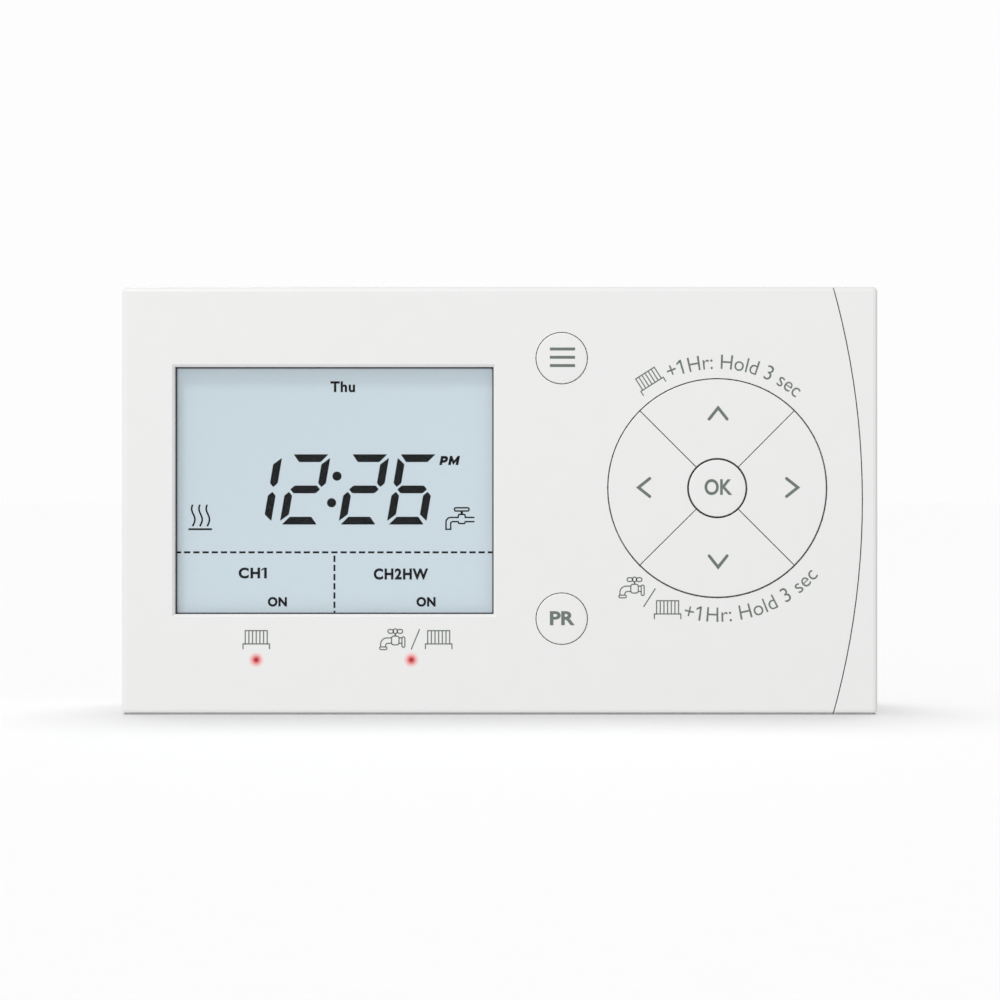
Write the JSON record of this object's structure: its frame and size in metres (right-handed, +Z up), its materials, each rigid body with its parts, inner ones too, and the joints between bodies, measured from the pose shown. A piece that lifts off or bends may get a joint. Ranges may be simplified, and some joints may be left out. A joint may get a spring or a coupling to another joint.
{
  "type": "programmable timer",
  "caption": "Wall-mounted programmer: display window, round keys and a four-way key pad in a slim white case that hooks onto a wall plate with screw terminals.",
  "frame": {"origin": "middle of the wall plate's back face, where it meets the wall", "axes": "+X to the right as seen from the front, +Y into the wall, +Z up"},
  "size_m": [0.16, 0.0313, 0.0904],
  "materials": {
    "case_plastic": "fine satin texture, off-white",
    "key_plastic": "satin, off-white",
    "plate_plastic": "satin, white",
    "clear_plastic": "polished clear plastic",
    "display_glass": "grey-blue liquid crystal cell",
    "diffuser": "milky",
    "frame_plastic": "moulded, grey",
    "rubber_strip": "striped conductive rubber",
    "board": "green solder mask on glass laminate",
    "black_plastic": "moulded, black",
    "relay_plastic": "moulded, dark blue",
    "capacitor_plastic": "moulded, yellow",
    "varistor_coat": "dipped epoxy, blue",
    "can_aluminium": "drawn can",
    "red_light": "red lamp body",
    "terminal_plastic": "moulded, light grey",
    "brass": "stamped",
    "tinned_brass": "tinned",
    "steel": "zinc plated"
  },
  "bodies": {
    "wall_side": {"wall_plate": "plate_plastic", "terminal_block": "terminal_plastic", "terminal_clamp_1": "brass", "terminal_clamp_2": "brass", "terminal_clamp_3": "brass", "terminal_clamp_4": "brass", "terminal_clamp_5": "brass", "terminal_clamp_6": "brass", "earth_terminal": "brass"},
    "module": {"rear_case": "case_plastic", "front_cover": "case_plastic", "display_lens": "clear_plastic", "lcd_panel": "display_glass", "display_frame": "frame_plastic", "backlight_guide": "diffuser", "lcd_connector": "rubber_strip", "main_board": "board", "relay_1": "relay_plastic", "relay_2": "relay_plastic", "mains_capacitor": "capacitor_plastic", "smoothing_capacitor": "can_aluminium", "varistor": "varistor_coat", "microcontroller": "black_plastic", "backup_cell": "steel", "cell_holder": "black_plastic", "light_pipe_1": "clear_plastic", "light_pipe_2": "clear_plastic", "led_1": "red_light", "led_2": "red_light", "contact_blade_1": "tinned_brass", "contact_blade_2": "tinned_brass", "contact_blade_3": "tinned_brass", "contact_blade_4": "tinned_brass", "contact_blade_5": "tinned_brass", "contact_blade_6": "tinned_brass", "switch_menu": "black_plastic", "switch_program": "black_plastic", "switch_ok": "black_plastic", "switch_right": "black_plastic", "switch_up": "black_plastic", "switch_left": "black_plastic", "switch_down": "black_plastic"},
    "end_cover": {"end_cover": "case_plastic"},
    "menu_button": {"menu_button": "key_plastic"},
    "program_button": {"program_button": "key_plastic"},
    "ok_button": {"ok_button": "key_plastic"},
    "key_right": {"key_right": "key_plastic"},
    "key_up": {"key_up": "key_plastic"},
    "key_left": {"key_left": "key_plastic"},
    "key_down": {"key_down": "key_plastic"},
    "captive_screw_left": {"captive_screw_left": "steel"},
    "captive_screw_right": {"captive_screw_right": "steel"},
    "earth_screw": {"earth_screw": "steel"},
    "terminal_screw_1": {"terminal_screw_1": "steel"},
    "terminal_screw_2": {"terminal_screw_2": "steel"},
    "terminal_screw_3": {"terminal_screw_3": "steel"},
    "terminal_screw_4": {"terminal_screw_4": "steel"},
    "terminal_screw_5": {"terminal_screw_5": "steel"},
    "terminal_screw_6": {"terminal_screw_6": "steel"}
  },
  "joints": [
    {"name": "module_tilt", "type": "hinge", "parent": "wall_side", "child": "module", "pos_m": [0, -0.005, 0.0402], "axis": [-1, 0, 0], "range_deg": [0, 30]},
    {"name": "end_cover_slide", "type": "slide", "parent": "module", "child": "end_cover", "axis": [1, 0, 0], "range_m": [0, 0.008]},
    {"name": "menu_button_press", "type": "slide", "parent": "module", "child": "menu_button", "axis": [0, 1, 0], "range_m": [0, 0.0006], "stiffness_N_per_m": 500, "springref_m": -0.0005},
    {"name": "program_button_press", "type": "slide", "parent": "module", "child": "program_button", "axis": [0, 1, 0], "range_m": [0, 0.0006], "stiffness_N_per_m": 500, "springref_m": -0.0005},
    {"name": "ok_button_press", "type": "slide", "parent": "module", "child": "ok_button", "axis": [0, 1, 0], "range_m": [0, 0.0006], "stiffness_N_per_m": 500, "springref_m": -0.0005},
    {"name": "key_right_press", "type": "slide", "parent": "module", "child": "key_right", "axis": [0, 1, 0], "range_m": [0, 0.0006], "stiffness_N_per_m": 500, "springref_m": -0.0005},
    {"name": "key_up_press", "type": "slide", "parent": "module", "child": "key_up", "axis": [0, 1, 0], "range_m": [0, 0.0006], "stiffness_N_per_m": 500, "springref_m": -0.0005},
    {"name": "key_left_press", "type": "slide", "parent": "module", "child": "key_left", "axis": [0, 1, 0], "range_m": [0, 0.0006], "stiffness_N_per_m": 500, "springref_m": -0.0005},
    {"name": "key_down_press", "type": "slide", "parent": "module", "child": "key_down", "axis": [0, 1, 0], "range_m": [0, 0.0006], "stiffness_N_per_m": 500, "springref_m": -0.0005},
    {"name": "captive_screw_left_turn", "type": "hinge", "parent": "module", "child": "captive_screw_left", "pos_m": [-0.05, -0.007, -0.04525], "axis": [0, 0, 1], "continuous": true},
    {"name": "captive_screw_right_turn", "type": "hinge", "parent": "module", "child": "captive_screw_right", "pos_m": [0.05, -0.007, -0.04525], "axis": [0, 0, 1], "continuous": true},
    {"name": "terminal_screw_1_turn", "type": "hinge", "parent": "wall_side", "child": "terminal_screw_1", "pos_m": [-0.03, -0.009, 0.022], "axis": [0, 1, 0], "continuous": true},
    {"name": "terminal_screw_2_turn", "type": "hinge", "parent": "wall_side", "child": "terminal_screw_2", "pos_m": [-0.018, -0.009, 0.022], "axis": [0, 1, 0], "continuous": true},
    {"name": "terminal_screw_3_turn", "type": "hinge", "parent": "wall_side", "child": "terminal_screw_3", "pos_m": [-0.006, -0.009, 0.022], "axis": [0, 1, 0], "continuous": true},
    {"name": "terminal_screw_4_turn", "type": "hinge", "parent": "wall_side", "child": "terminal_screw_4", "pos_m": [0.006, -0.009, 0.022], "axis": [0, 1, 0], "continuous": true},
    {"name": "terminal_screw_5_turn", "type": "hinge", "parent": "wall_side", "child": "terminal_screw_5", "pos_m": [0.018, -0.009, 0.022], "axis": [0, 1, 0], "continuous": true},
    {"name": "terminal_screw_6_turn", "type": "hinge", "parent": "wall_side", "child": "terminal_screw_6", "pos_m": [0.03, -0.009, 0.022], "axis": [0, 1, 0], "continuous": true},
    {"name": "earth_screw_turn", "type": "hinge", "parent": "wall_side", "child": "earth_screw", "pos_m": [-0.047, -0.009, 0.026], "axis": [0, 1, 0], "continuous": true}
  ]
}
